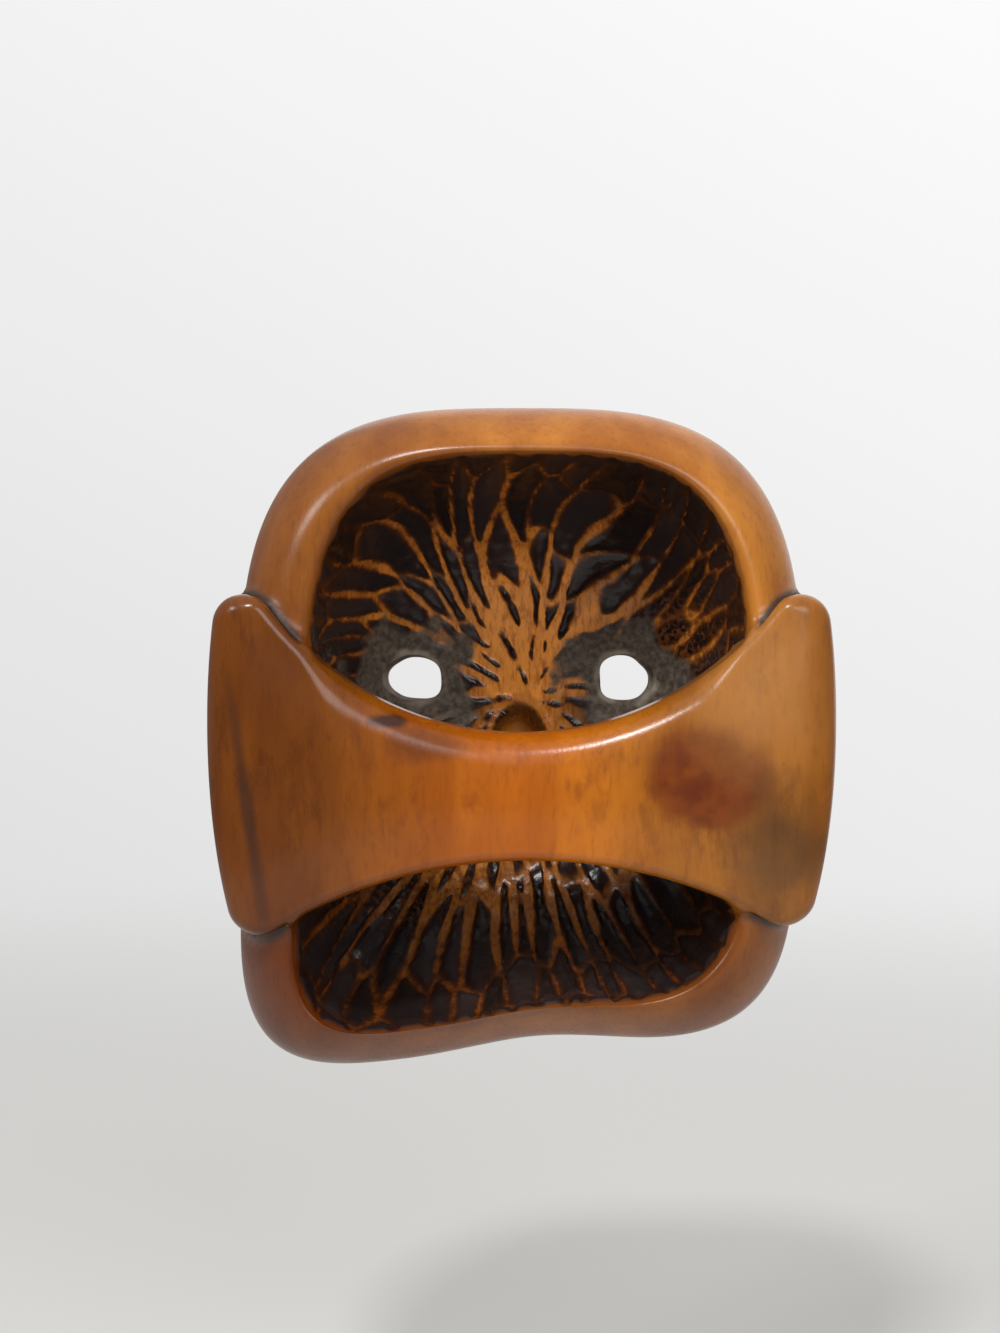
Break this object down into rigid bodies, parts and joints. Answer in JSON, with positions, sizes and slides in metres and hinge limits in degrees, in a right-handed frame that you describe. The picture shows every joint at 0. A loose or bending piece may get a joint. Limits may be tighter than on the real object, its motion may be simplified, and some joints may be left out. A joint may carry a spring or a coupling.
{
  "type": "mask netsuke",
  "caption": "Small carved boxwood mask with a calm face, a hollowed back, pierced eyes and a broad rear bar that a cord loops round.",
  "frame": {"origin": "middle of the cord bar, where the cord loops round it", "axes": "+Z towards the crown, -Y the way the face looks, +Y the open back, +X the mask's left as seen from the back"},
  "size_m": [0.04, 0.023, 0.043],
  "materials": {
    "shell_boxwood": "polished, stained dark in the hollow",
    "band_boxwood": "polished"
  },
  "bodies": {
    "root": {"mask_shell": "shell_boxwood", "rear_band": "band_boxwood"}
  },
  "joints": []
}
